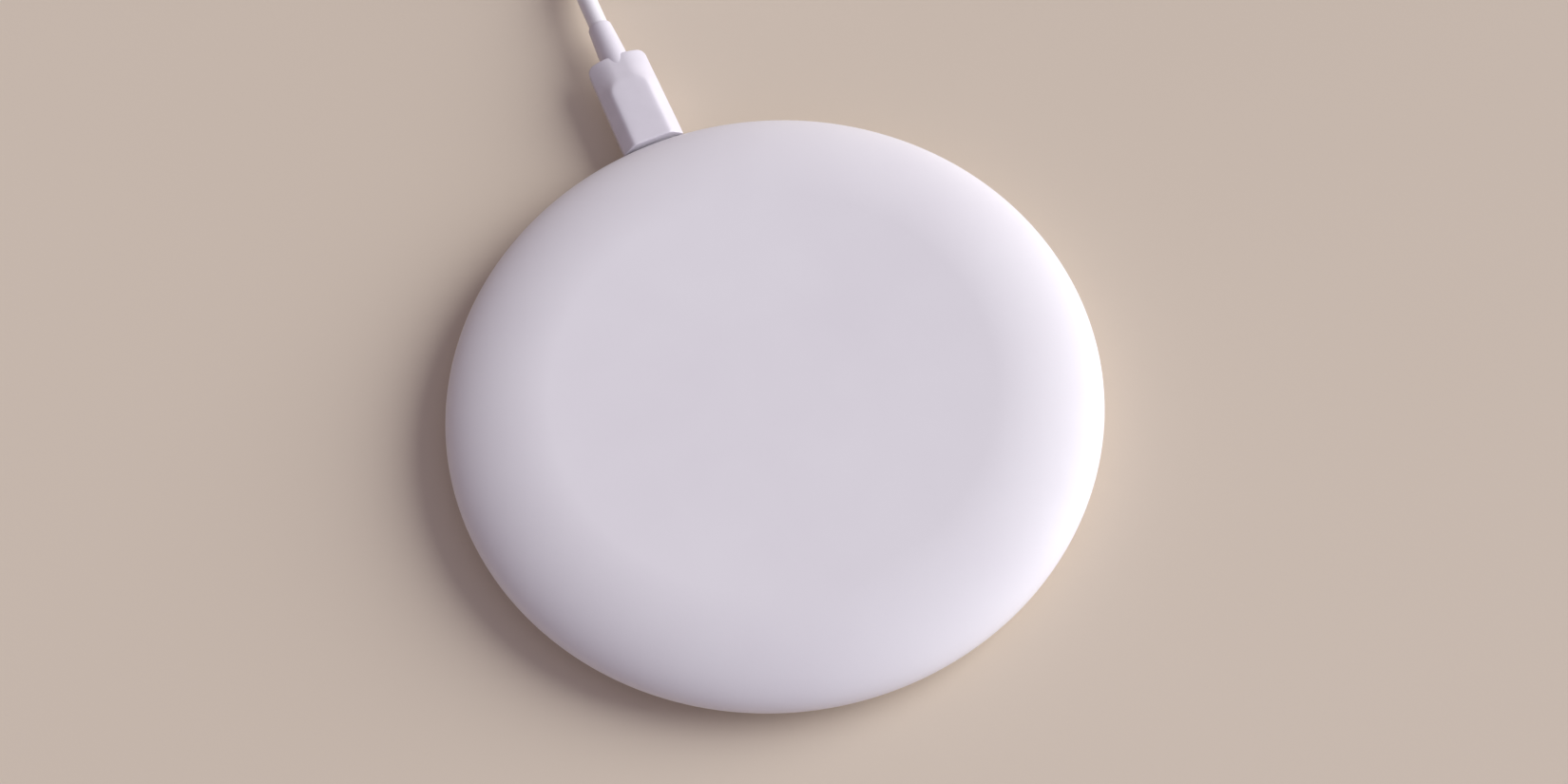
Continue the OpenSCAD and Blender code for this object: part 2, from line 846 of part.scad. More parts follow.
module usb_a_shell()
    color(steel) at_usb_a()
        difference() {
            translate([usb_a_front - usb_a_hold, -usb_a_w / 2, -usb_a_h / 2])
                cube([usb_a_hold + usb_a_l, usb_a_w, usb_a_h]);
            translate([usb_a_front - usb_a_hold - over, usb_a_wall - usb_a_w / 2, usb_a_wall - usb_a_h / 2])
                cube([usb_a_hold + usb_a_l + 2 * over, usb_a_w - 2 * usb_a_wall, usb_a_h - 2 * usb_a_wall]);
            // Spring windows
            for (side = [-1, 1])
                block(
                    usb_a_front + usb_a_window_x + usb_a_window.x / 2, side * usb_a_window_y,
                    usb_a_window.x, usb_a_window.y, -usb_a_h, 2 * usb_a_h
                );
        }

module usb_a_insulator()
    color(white) at_usb_a()
        translate([usb_a_front - usb_a_hold, -usb_a_block_w / 2, usb_a_block_z])
            cube([usb_a_hold + usb_a_l - usb_a_block_in, usb_a_block_w, usb_a_block_t]);

module usb_a_contacts()
    color(gold) at_usb_a()
        for (y = usb_a_contact_y)
            translate([
                usb_a_front + usb_a_contact_x, y - usb_a_contact_size.y / 2,
                usb_a_block_z + usb_a_block_t
            ])
                cube(usb_a_contact_size);

soft_skin();
top_cover();
base_cover();
foot_ring();
case_screws();
charging_coil();
coil_adhesive();
ferrite_plate();
shield_plate();
shield_screws();
coil_leads();
thermistor();
circuit_board();
board_screws();
controller_chip();
power_transistors();
resonant_capacitors();
input_capacitors();
chip_resistors();
power_inductor();
crystal();
thermal_pad();
socket_shell();
socket_tongue();
socket_contacts();
plug_shell();
plug_insulator();
plug_contacts();
plug_board();
plug_grip();
plug_strain_relief();
cord_lead();
cord_coil();
cord_tie();
cord_tail();
usb_a_strain_relief();
usb_a_grip();
usb_a_shell();
usb_a_insulator();
usb_a_contacts();
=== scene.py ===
import json
import math

import bmesh
import bpy
from mathutils import Matrix, Vector


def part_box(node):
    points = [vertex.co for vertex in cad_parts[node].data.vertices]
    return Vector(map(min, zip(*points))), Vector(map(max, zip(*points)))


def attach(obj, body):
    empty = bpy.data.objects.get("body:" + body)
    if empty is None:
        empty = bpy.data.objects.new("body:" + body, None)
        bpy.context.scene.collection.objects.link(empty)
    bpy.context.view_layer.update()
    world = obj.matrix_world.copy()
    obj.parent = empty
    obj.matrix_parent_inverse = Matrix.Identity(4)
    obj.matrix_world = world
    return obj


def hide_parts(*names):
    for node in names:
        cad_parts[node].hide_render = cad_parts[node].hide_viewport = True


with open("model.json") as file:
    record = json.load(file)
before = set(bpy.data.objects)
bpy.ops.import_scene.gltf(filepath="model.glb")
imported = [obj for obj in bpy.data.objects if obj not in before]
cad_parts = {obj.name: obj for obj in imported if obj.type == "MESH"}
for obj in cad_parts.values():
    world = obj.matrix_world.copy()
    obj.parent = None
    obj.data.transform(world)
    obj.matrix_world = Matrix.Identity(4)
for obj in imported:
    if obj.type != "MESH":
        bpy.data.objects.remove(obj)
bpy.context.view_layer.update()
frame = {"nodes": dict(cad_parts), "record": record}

# All lengths are in metres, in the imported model's frame. Numbers in tuples times MM are millimetres.
MM = 0.001
RECORD = frame["record"]
NODES = frame["nodes"]
BODY_OF = {node: body for body, nodes in RECORD["behaviour"]["bodies"].items() for node in nodes}
SLOT_OF = {part["node"]: part["material_slot"] for part in RECORD["subparts"]}
UP = Vector((0, 0, 1))

# Pad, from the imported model
SKIN_LOW, SKIN_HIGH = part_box("soft_skin")
PAD_R = round(SKIN_HIGH.x, 4)
PAD_TOP = SKIN_HIGH.z
PART_Z = SKIN_LOW.z
# The rest of its outline, as in the CAD source
SHOULDER_RUN = 18 * MM
UNDER_RUN = 11 * MM
RIM_Z = 5.6 * MM
BASE_Z = 0.8 * MM
SKIN_T = 0.8 * MM
FLAT_R = PAD_R - SHOULDER_RUN
BASE_R = PAD_R - UNDER_RUN

# Cable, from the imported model
GRIP_LOW, GRIP_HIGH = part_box("plug_grip")
PORT_Z = (GRIP_LOW.z + GRIP_HIGH.z) / 2
RELIEF_LOW, RELIEF_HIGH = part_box("plug_strain_relief")
CORD_EXIT = Vector((0, RELIEF_HIGH.y, PORT_Z))
CORD_D = 3.4 * MM
NECK_TIP_D = 4.2 * MM
# The far plug's grip and its neck, as in the CAD source
USB_A_HALF_W, USB_A_HALF_H, USB_A_L = 8 * MM, 4 * MM, 22 * MM
USB_A_NECK_L = 6 * MM
# Routes of the cord's loose stretches: the lead from its exit, and the tail from the coil's end
LEAD_STEPS = [
    (0, 0, 5), (0, 3.5, 5), (0.1, 7.5, 4.7), (0.4, 11.5, 4),
    (0.9, 15.5, 3.1), (1.5, 19.5, 2.3), (2, 23.5, 1.87), (2.4, 28, 1.72),
]
TAIL_STEPS = [
    (5, -0.4, 5.1), (10, -1.7, 5.1), (15, -3.9, 5), (20, -6.9, 4.7),
    (25, -10.7, 4.3), (30, -15, 4), (34.5, -19.5, 4),
]


# ---------- camera ----------

def make_camera():
    """Camera at the photograph's angle: before the pad, a little to its left, looking steeply down."""
    azimuth, elevation, roll = (math.radians(a) for a in (-16.72, 62.96, -6.15))
    distance = 0.6248
    target = Vector((3.35, 4.4, 0)) * MM
    back = Vector((
        math.sin(azimuth) * math.cos(elevation),
        -math.cos(azimuth) * math.cos(elevation),
        math.sin(elevation),
    ))
    right = Vector((math.cos(azimuth), math.sin(azimuth), 0))
    up = back.cross(right)
    turned_right = math.cos(roll) * right + math.sin(roll) * up
    turned_up = math.cos(roll) * up - math.sin(roll) * right
    data = bpy.data.cameras.new("camera")
    data.lens = 85
    data.sensor_width = 36
    data.clip_start = 0.01
    camera = bpy.data.objects.new("camera", data)
    bpy.context.scene.collection.objects.link(camera)
    axes = Matrix((turned_right, turned_up, back)).transposed().to_4x4()
    camera.matrix_world = Matrix.Translation(target + back * distance) @ axes
    bpy.context.scene.camera = camera


# ---------- curves ----------

def smooth_route(points, steps):
    """A Catmull-Rom curve through the points, with this many steps from one to the next."""
    padded = [2 * points[0] - points[1], *points, 2 * points[-1] - points[-2]]
    route = []
    for a, b, c, d in zip(padded, padded[1:], padded[2:], padded[3:]):
        for i in range(steps):
            t = i / steps
            route.append(0.5 * (
                2 * b + (c - a) * t + (2 * a - 5 * b + 4 * c - d) * t ** 2
                + (3 * b - a - 3 * c + d) * t ** 3
            ))
    return route + [points[-1]]


def rise(value, end, width):
    """Rises smoothly from 0 to 1 over the stretch of this width that ends at end."""
    t = min(max((value - end) / width + 1, 0), 1)
    return 0.5 - 0.5 * math.cos(math.pi * t)


# ---------- cord ----------

def coil_frame():
    """The wound cord's centre on the floor, the radius of its outer turns, and the angle of its tie."""
    low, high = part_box("cord_coil")
    centre = (low + high) / 2
    tie_low, tie_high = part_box("cord_tie")
    tie = (tie_low + tie_high) / 2 - centre
    return centre, (high.x - low.x) / 2 - CORD_D / 2, math.atan2(tie.y, tie.x)


def coil_points():
    """Four turns side by side, outer to inner, then over three on top of them, inner to outer.
    The turns are raised where the tie passes under them."""
    centre, outer_r, tie_angle = coil_frame()
    turns, steps_a_turn, crossing, climb_end = 7.25, 64, 0.18, 3.82
    inwards, outwards = (1, 2, 3), (4.64, 5.64, 6.64)
    tie_lift, tie_spread = 0.7 * MM, math.radians(28)
    rest_z = CORD_D / 2 + 0.02 * MM
    points = []
    for i in range(round(turns * steps_a_turn) + 1):
        t = i / steps_a_turn
        column = sum(rise(t, end, crossing) for end in inwards)
        column -= sum(rise(t, end, crossing) for end in outwards)
        angle = math.pi - 2 * math.pi * t
        off = abs((angle - tie_angle + math.pi) % (2 * math.pi) - math.pi) / tie_spread
        over_tie = tie_lift * (0.5 + 0.5 * math.cos(math.pi * min(off, 1)))
        radius = outer_r - column * CORD_D
        points.append(Vector((
            centre.x + radius * math.cos(angle),
            centre.y + radius * math.sin(angle),
            rest_z + rise(t, climb_end, crossing) * CORD_D + over_tie,
        )))
    return points


def cord_points():
    """The whole cord's centreline, from the neck's tip to the far plug's."""
    turns = coil_points()
    exit_below = Vector((CORD_EXIT.x, CORD_EXIT.y, 0))
    lead = [exit_below + Vector(p) * MM for p in LEAD_STEPS]
    tail_start = Vector((turns[-1].x, turns[-1].y, 0))
    tail = [tail_start + Vector(p) * MM for p in TAIL_STEPS]
    lead_steps, tail_steps = 4, 5
    before = smooth_route(lead + turns[:1], lead_steps)[:-1]
    after = smooth_route(turns[-1:] + tail, tail_steps)[1:]
    return before + turns + after


def frames(points):
    """(point, side, up) along a line, turning as little as it can."""
    side = None
    for before, point, after in zip(points[:1] + points, points, points[1:] + points[-1:]):
        along = (after - before).normalized()
        side = along.cross(UP) if side is None else side - along * side.dot(along)
        side.normalize()
        yield point, side, side.cross(along)


def make_cord(points):
    """A round tube along the cord's centreline, its ends sunk a little into the two necks."""
    sunk = 0.6 * MM
    ends = [
        points[0] + (points[0] - points[1]).normalized() * sunk,
        points[-1] + (points[-1] - points[-2]).normalized() * sunk,
    ]
    sides, rings = 24, []
    angles = [2 * math.pi * i / sides for i in range(sides)]
    for point, side, up in frames([ends[0], *points, ends[1]]):
        rings.append([point + CORD_D / 2 * (math.cos(a) * side + math.sin(a) * up) for a in angles])
    return loft("cord", rings)


# ---------- mesh helpers ----------

def new_piece(name, verts, faces, smooth=True):
    """An object made of these points and faces, all facing outwards."""
    mesh = bpy.data.meshes.new(name)
    mesh.from_pydata([tuple(v) for v in verts], [], faces)
    mesh.update()
    bm = bmesh.new()
    bm.from_mesh(mesh)
    bmesh.ops.recalc_face_normals(bm, faces=bm.faces)
    bm.to_mesh(mesh)
    bm.free()
    mesh.polygons.foreach_set("use_smooth", [smooth] * len(mesh.polygons))
    piece = bpy.data.objects.new(name, mesh)
    bpy.context.scene.collection.objects.link(piece)
    return piece


def loft(name, rings, closed=False):
    """A skin over rings of equally many points: closed on itself, or capped at both ends."""
    count = len(rings[0])
    verts = [p for ring in rings for p in ring]
    spans = len(rings) if closed else len(rings) - 1
    faces = []
    for i in range(spans):
        a, b = i * count, (i + 1) % len(rings) * count
        for j in range(count):
            k = (j + 1) % count
            faces.append((a + j, a + k, b + k, b + j))
    if not closed:
        faces.append(tuple(range(count)))
        faces.append(tuple(range(len(verts) - count, len(verts))))
    return new_piece(name, verts, faces)


def revolve(name, profile, segments):
    """Turns a closed (radius, height) profile about Z. Points on the axis are shared."""
    verts, rows = [], []
    for r, z in profile:
        if r == 0:
            rows.append([len(verts)] * segments)
            verts.append((0, 0, z))
            continue
        rows.append(list(range(len(verts), len(verts) + segments)))
        for s in range(segments):
            angle = 2 * math.pi * s / segments
            verts.append((r * math.cos(angle), r * math.sin(angle), z))
    faces = []
    for a, b in zip(rows, rows[1:] + rows[:1]):
        for s in range(segments):
            t = (s + 1) % segments
            corners = list(dict.fromkeys((a[s], a[t], b[t], b[s])))
            if len(corners) > 2:
                faces.append(tuple(corners))
    return new_piece(name, verts, faces)


def apply_modifiers(piece):
    """Bakes the piece's modifiers into its mesh."""
    graph = bpy.context.evaluated_depsgraph_get()
    mesh = bpy.data.meshes.new_from_object(piece.evaluated_get(graph))
    piece.modifiers.clear()
    piece.data = mesh


def cut(piece, *cutters):
    """Takes the cutters out of the piece, and removes them."""
    for cutter in cutters:
        modifier = piece.modifiers.new("cut", "BOOLEAN")
        modifier.operation = "DIFFERENCE"
        modifier.solver = "EXACT"
        modifier.object = cutter
    apply_modifiers(piece)
    for cutter in cutters:
        bpy.data.objects.remove(cutter)


def bevel(piece, width, segments):
    """Rounds the piece's sharp edges."""
    modifier = piece.modifiers.new("bevel", "BEVEL")
    modifier.width = width
    modifier.segments = segments
    modifier.limit_method = "ANGLE"
    modifier.angle_limit = math.radians(30)
    modifier.harden_normals = True
    apply_modifiers(piece)


def stadium(width, height, steps=16):
    """Points (x, z) round a slot with round ends."""
    r = height / 2
    points = []
    for side, start in ((1, -90), (-1, 90)):
        for i in range(steps + 1):
            angle = math.radians(start + 180 * i / steps)
            points.append((side * (width / 2 - r) + r * math.cos(angle), r * math.sin(angle)))
    return points


def ellipse_arc(cx, cz, a, b, start, end, steps):
    """Points (x, z) from one angle in degrees to another on an ellipse with half axes a and b."""
    arc = []
    for i in range(steps + 1):
        t = math.radians(start + (end - start) * i / steps)
        arc.append((cx + a * math.cos(t), cz + b * math.sin(t)))
    return arc


# ---------- pad ----------

def outline_arcs(inset):
    """The shoulder, from the flat top to the rim, and the underside, down to the parting line."""
    shoulder_steps, under_steps = 36, 8
    shoulder_h = PAD_TOP - RIM_Z - inset
    under_h = RIM_Z - BASE_Z - inset
    part_angle = math.degrees(math.asin((PART_Z - RIM_Z) / under_h))
    shoulder = ellipse_arc(FLAT_R, RIM_Z, SHOULDER_RUN - inset, shoulder_h, 90, 0, shoulder_steps)
    under = ellipse_arc(BASE_R, RIM_Z, UNDER_RUN - inset, under_h, 0, part_angle, under_steps)
    return shoulder, under


def outer_normal(point):
    """Normal of the pad's outline at a point on it, or None where the point isn't on it.
    The flat top's slack is a length, and the arcs' are shares of their radii."""
    slack, arc_slack, end_slack = 0.001 * MM, 0.002, 0.0001
    r = math.hypot(point.x, point.y)
    if point.z > PAD_TOP - slack and r <= FLAT_R + slack:
        return UP
    centre, run, height = (
        (FLAT_R, SHOULDER_RUN, PAD_TOP - RIM_Z) if point.z >= RIM_Z
        else (BASE_R, UNDER_RUN, RIM_Z - BASE_Z)
    )
    across, above = (r - centre) / run, (point.z - RIM_Z) / height
    if across < -end_slack or abs(math.hypot(across, above) - 1) > arc_slack:
        return None
    outwards = Vector((point.x, point.y, 0)).normalized() * (across / run)
    return (outwards + UP * (above / height)).normalized()


def make_skin():
    """The soft skin: one turned shell with the port's opening, its edge rolled in."""
    shoulder, under = outline_arcs(0)
    inner_shoulder, inner_under = outline_arcs(SKIN_T)
    flat_rings = (0, 3, 9, 16, 23, 30)
    flat = [(r * MM, PAD_TOP) for r in flat_rings]
    # The lower edge is rounded, in shares of edge outwards from its end and up from the parting line
    edge, low_r = 0.14 * MM, under[-1][0]
    rim = [(low_r + out * edge, PART_Z + up * edge) for out, up in ((0.1, 1), (-0.2, 0.3), (-1, 0))]
    inner = (inner_shoulder + inner_under[1:])[::-1] + [(0, PAD_TOP - SKIN_T)]
    profile = flat + shoulder + under[1:-1] + rim + inner
    skin = revolve("pad_skin", profile, segments=288)
    port_w, port_h = 9.4 * MM, 3.5 * MM
    # How far outside the rim, and how much wider than the port, in millimetres
    flared = [(-12, 0), (-0.75, 0), (-0.5, 0.05), (-0.3, 0.16), (-0.12, 0.36), (0.1, 0.8), (1, 2.6)]
    rings = []
    for outside, flare in flared:
        y = PAD_R + outside * MM
        ring = stadium(port_w + flare * MM, port_h + flare * MM)
        rings.append([(x, y, z + PORT_Z) for x, z in ring])
    cut(skin, loft("port_cutter", rings))
    mesh = skin.data
    mesh.polygons.foreach_set("use_smooth", [True] * len(mesh.polygons))
    mesh.set_sharp_from_angle(angle=math.radians(40))
    normals = []
    for face in mesh.polygons:
        found = [outer_normal(mesh.vertices[v].co) for v in face.vertices]
        outside = all(found) and face.normal.dot(sum(found, Vector())) > 0
        normals += found if outside else [Vector()] * len(found)
    mesh.normals_split_custom_set(normals)
    return skin


def make_foot_ring():
    """The rubber ring with rounded edges and three shallow grooves in its sole."""
    low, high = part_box("foot_ring")
    ring_w, gap = 8 * MM, 0.08 * MM
    outer = (high.x - low.x) / 2
    inner = outer - ring_w + gap
    edge, groove_w, groove_d = 0.35 * MM, 0.5 * MM, 0.25 * MM
    edge_steps, groove_places = 5, (0.25, 0.5, 0.75)
    groove = ((-1, 0), (-0.6, 0.8), (0, 1), (0.6, 0.8), (1, 0))
    profile = [(inner, high.z), (inner, low.z + edge)]
    profile += ellipse_arc(inner + edge, low.z + edge, edge, edge, 180, 270, edge_steps)[1:]
    for share in groove_places:
        middle = inner + share * (outer - inner)
        for aside, depth in groove:
            profile.append((middle + aside * groove_w, low.z + depth * groove_d))
    profile += ellipse_arc(outer - edge, low.z + edge, edge, edge, 270, 360, edge_steps)
    profile.append((outer, high.z))
    return revolve("pad_foot_ring", profile, segments=192)


def make_winding():
    """The charging coil: one flat spiral of twisted strands, from its inner to its outer end."""
    low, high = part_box("charging_coil")
    radius = (high.z - low.z) / 2
    middle_z = (high.z + low.z) / 2
    outer_r = (high.x - low.x) / 2 - radius
    inner_r, turns, start = 11.55 * MM, 9.04, math.radians(99.5)
    strands, lobe_steps, lobe_depth, twist = 9, 3, 0.09, 7 * MM
    steps_a_turn = 150
    rings, turned = [], 0
    last = None
    for i in range(round(turns * steps_a_turn) + 1):
        t = i / (turns * steps_a_turn)
        r = inner_r + (outer_r - inner_r) * t
        angle = start - 2 * math.pi * turns * t
        out = Vector((math.cos(angle), math.sin(angle), 0))
        centre = out * r + UP * middle_z
        if last is not None:
            turned += 2 * math.pi * (centre - last).length / twist
        last = centre
        ring = []
        for j in range(strands * lobe_steps):
            around = 2 * math.pi * j / (strands * lobe_steps)
            reach = radius * (1 - lobe_depth * (j % lobe_steps == 0))
            ring.append(centre + reach * (
                math.cos(around + turned) * out + math.sin(around + turned) * UP
            ))
        rings.append(ring)
    return loft("charging_coil_winding", rings)


# ---------- plugs ----------

def make_grip(name, size, place, holes, taper, bevel_run, bevel_drop, slope_l, rear_drop, corner, arch):
    """A moulded plug body: flat plateau, bevelled long edges, and a rounded slope down to its rear.
    Its size is half its width, half its height, and its length. Its front face is at the origin of
    place, and its rear is along that place's +Y, where each side is a taper narrower."""
    half_w, half_h, length = size
    side_slope, rear_slope = bevel_drop / bevel_run, rear_drop / slope_l
    blur = 0.35 * MM

    def top(x, y):
        aside = max(abs(x) - (half_w - taper * y / length - bevel_run - arch), 0)
        behind = max(y - (length - slope_l - arch), 0)
        reach = math.hypot(aside, behind)
        share = (aside / reach) ** 2 if reach else 1
        past = reach - arch
        fall = (past + math.hypot(past, blur)) / 2
        return half_h - fall * (rear_slope + (side_slope - rear_slope) * share)

    rows, across, along = [], 40, 60
    for i in range(along + 1):
        y = length * math.sin(math.pi / 2 * i / along)
        back = max(y - (length - corner), 0)
        w = half_w - taper * y / length - corner + math.sqrt(max(corner ** 2 - back ** 2, 0))
        rows.append([(w * (2 * j / across - 1), y) for j in range(across + 1)])
    verts = [(x, y, side * top(x, y)) for side in (1, -1) for row in rows for x, y in row]
    width, half = across + 1, len(rows) * (across + 1)
    faces = []
    for base in (0, half):
        for i in range(len(rows) - 1):
            for j in range(across):
                a = base + i * width + j
                faces.append((a, a + 1, a + width + 1, a + width))
    rim = list(range(width)) + [i * width + across for i in range(1, len(rows))]
    rim += [(len(rows) - 1) * width + j for j in range(across - 1, -1, -1)]
    rim += [i * width for i in range(len(rows) - 2, 0, -1)]
    for a, b in zip(rim, rim[1:] + rim[:1]):
        faces.append((a, b, b + half, a + half))
    piece = new_piece(name, verts, faces)
    remesh = piece.modifiers.new("even", "REMESH")
    remesh.mode = "VOXEL"
    remesh.voxel_size = 0.16 * MM
    smooth = piece.modifiers.new("round", "SMOOTH")
    smooth.factor = 0.5
    smooth.iterations = 7
    apply_modifiers(piece)
    cut(piece, *holes)
    piece.data.transform(place)
    piece.data.update()
    return piece


def box_piece(name, low, high):
    """A plain box between two corners, to cut with or to round off."""
    xs, ys, zs = zip(low, high)
    verts = [(x, y, z) for x in xs for y in ys for z in zs]
    faces = [(0, 1, 3, 2), (4, 6, 7, 5), (0, 4, 5, 1), (2, 3, 7, 6), (0, 2, 6, 4), (1, 5, 7, 3)]
    return new_piece(name, verts, faces, smooth=False)


def make_plug_grip():
    """The plug's moulding, with a slot for its nose and a pocket for the board behind that."""
    nose_low, nose_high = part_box("plug_shell")
    board_low, board_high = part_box("plug_board")
    front = Vector((0, GRIP_LOW.y, PORT_Z))
    nose = nose_high - nose_low
    overshoot, overlap, hold = 2 * MM, 0.2 * MM, nose_high.y - front.y
    ring = stadium(nose.x, nose.z)
    slot = loft("nose_cutter", [[(x, y, z) for x, z in ring] for y in (-overshoot, hold)])
    room = Vector((0.1, 0.3, 0.45)) * MM
    pocket_low, pocket_high = board_low - front - room, board_high - front + room
    pocket_low.y = hold - overlap
    pocket = box_piece("pocket_cutter", pocket_low, pocket_high)
    size = ((GRIP_HIGH.x - GRIP_LOW.x) / 2, (GRIP_HIGH.z - GRIP_LOW.z) / 2, GRIP_HIGH.y - GRIP_LOW.y)
    return make_grip(
        "plug_moulding", size, Matrix.Translation(front), [slot, pocket],
        taper=0.2 * MM, bevel_run=2 * MM, bevel_drop=2 * MM, slope_l=5.8 * MM,
        rear_drop=0.8 * MM, corner=1.3 * MM, arch=2.2 * MM,
    )


def usb_a_place():
    """Frame of the far plug's grip: origin at its front face, +Y towards the cord."""
    relief_low, relief_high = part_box("usb_a_strain_relief")
    grip_low, grip_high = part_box("usb_a_grip")
    relief, grip = (relief_low + relief_high) / 2, (grip_low + grip_high) / 2
    back = relief - grip
    back.z = 0
    back.normalize()
    front = grip - back * (USB_A_L / 2)
    front.z = (grip_low.z + grip_high.z) / 2
    return Matrix.Translation(front) @ Matrix((back.cross(UP), back, UP)).transposed().to_4x4()


def make_usb_a_grip():
    """The far plug's moulding, with a slot for its metal shell."""
    hold, half_w, half_h, overshoot = 4 * MM, 6 * MM, 2.25 * MM, 2 * MM
    slot = box_piece("socket_cutter", (-half_w, -overshoot, -half_h), (half_w, hold, half_h))
    return make_grip(
        "usb_a_moulding", (USB_A_HALF_W, USB_A_HALF_H, USB_A_L), usb_a_place(), [slot],
        taper=0, bevel_run=2.5 * MM, bevel_drop=2 * MM, slope_l=6 * MM,
        rear_drop=1.1 * MM, corner=2 * MM, arch=2.6 * MM,
    )


def make_neck(name, place, length, root_d, sunk):
    """A tapered strain relief along place's +Y, its root sunk into the grip and its tip rounded."""
    tip_r, steps, tip_steps, sides = 0.35 * MM, 24, 5, 64
    # A straight taper has hollow 1
    hollow = 1.3
    chamfer, chamfer_l, clear = 0.3 * MM, 0.1 * MM, 0.06 * MM
    profile = [(root_d / 2 - chamfer, -sunk), (root_d / 2 - clear, chamfer_l - sunk)]
    for i in range(steps + 1):
        y = (length - tip_r) * i / steps
        profile.append(((root_d + (NECK_TIP_D - root_d) * (y / length) ** hollow) / 2, y))
    last_r = profile[-1][0]
    for i in range(1, tip_steps + 1):
        turn = math.radians(90 * i / tip_steps)
        profile.append((last_r - tip_r * (1 - math.cos(turn)), length - tip_r * (1 - math.sin(turn))))
    angles = [2 * math.pi * i / sides for i in range(sides)]
    rings = [[place @ Vector((r * math.cos(a), y, r * math.sin(a))) for a in angles] for r, y in profile]
    piece = loft(name, rings)
    piece.data.set_sharp_from_angle(angle=math.radians(50))
    return piece


def make_tie():
    """A hook-and-loop strap round the coil's bundle, its end lapped over the outer side."""
    centre, outer_r, angle = coil_frame()
    tie_low, tie_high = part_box("cord_tie")
    columns, thick, gap, width, corner = 4, 0.7 * MM, 0.4 * MM, 6 * MM, 2.2 * MM
    half_h = (tie_high.z - tie_low.z) / 2 - thick
    straight_w, straight_h = columns * CORD_D / 2 + gap - corner, half_h - corner
    axis = Vector((math.cos(angle), math.sin(angle), 0))
    along = Vector((-axis.y, axis.x, 0))
    middle_r = outer_r + CORD_D / 2 - columns * CORD_D / 2
    origin = Vector((centre.x, centre.y, (tie_low.z + tie_high.z) / 2)) + axis * middle_r
    # The strap's section: (side, how far in from that edge, share of the thickness)
    round_in = 0.12 * MM
    edge = [(round_in, 0), (0, 0.2), (0, 0.8), (round_in, 1)]
    section = [(-1, *point) for point in edge] + [(1, *point) for point in edge[::-1]]

    def lapped(reach, turns):
        """Points (x, z) round the bundle, reach outside the strap's inner face."""
        r, quick = corner + reach, 3
        points = []
        for turn in turns:
            c, s = math.cos(2 * math.pi * turn), math.sin(2 * math.pi * turn)
            points.append((
                math.copysign(straight_w, c) * min(1, abs(c) * quick) + r * c,
                math.copysign(straight_h, s) * min(1, abs(s) * quick) + r * s,
            ))
        return points

    def strap(name, inside, turns, closed):
        rings = []
        for inner, outer in zip(lapped(inside, turns), lapped(inside + thick, turns)):
            ring = []
            for side, back, share in section:
                x, z = (a + (b - a) * share for a, b in zip(inner, outer))
                ring.append(origin + axis * x + UP * z + along * side * (width / 2 - back))
            rings.append(ring)
        return loft(name, rings, closed)

    loop_steps, tab_steps, tab_start, tab_end = 96, 32, -0.02, 0.2
    loop = strap("cord_tie_loop", 0, [i / loop_steps for i in range(loop_steps)], closed=True)
    spans = [tab_start + (tab_end - tab_start) * i / tab_steps for i in range(tab_steps + 1)]
    return loop, strap("cord_tie_tab", thick, spans, closed=False)


# ---------- small parts on the board ----------

def islands(node):
    """The (lowest corner, highest corner) of each separate solid in a CAD node."""
    bm = bmesh.new()
    bm.from_mesh(NODES[node].data)
    bmesh.ops.remove_doubles(bm, verts=bm.verts, dist=1e-6)
    left, boxes = set(bm.verts), []
    while left:
        stack = [min(left, key=lambda v: v.index)]
        left.discard(stack[0])
        points = []
        while stack:
            vert = stack.pop()
            points.append(vert.co.copy())
            for link in vert.link_edges:
                other = link.other_vert(vert)
                if other in left:
                    left.discard(other)
                    stack.append(other)
        boxes.append((
            Vector(min(p[i] for p in points) for i in range(3)),
            Vector(max(p[i] for p in points) for i in range(3)),
        ))
    bm.free()
    return sorted(boxes, key=lambda b: tuple(round(c, 6) for c in b[0]))


def join(name, parts):
    """Joins the parts into one piece with their materials, and removes them."""
    mesh = bpy.data.meshes.new(name)
    bm = bmesh.new()
    materials = []
    for part in parts:
        start = len(bm.faces)
        bm.from_mesh(part.data)
        bm.faces.ensure_lookup_table()
        looks = list(part.data.materials)
        for face in bm.faces[start:]:
            look = looks[face.material_index] if looks else None
            if look not in materials:
                materials.append(look)
            face.material_index = materials.index(look)
        bpy.data.objects.remove(part)
    bm.to_mesh(mesh)
    bm.free()
    for look in materials:
        mesh.materials.append(look)
    piece = bpy.data.objects.new(name, mesh)
    bpy.context.scene.collection.objects.link(piece)
    return piece


def make_chip_parts(name, node, body_look, end_look, end_share):
    """Bevelled ceramic bodies with plated ends, one at each solid of the node."""
    parts, shrink, rounding = [], 0.04 * MM, 0.08 * MM
    for low, high in islands(node):
        size = high - low
        axis = 0 if size.x > size.y else 1
        end = size[axis] * end_share
        body_low, body_high = low + Vector((shrink,) * 3), high - Vector((shrink,) * 3)
        body_low.z = low.z
        spans = [(body_low, body_high, body_look)]
        for first in (True, False):
            cap_low, cap_high = low.copy(), high.copy()
            if first:
                cap_high[axis] = low[axis] + end
            else:
                cap_low[axis] = high[axis] - end
            spans.append((cap_low, cap_high, end_look))
        for part_low, part_high, look in spans:
            part = box_piece(name, part_low, part_high)
            part.data.materials.append(look)
            bevel(part, rounding, segments=2)
            parts.append(part)
    return join(name, parts)


# ---------- screws ----------

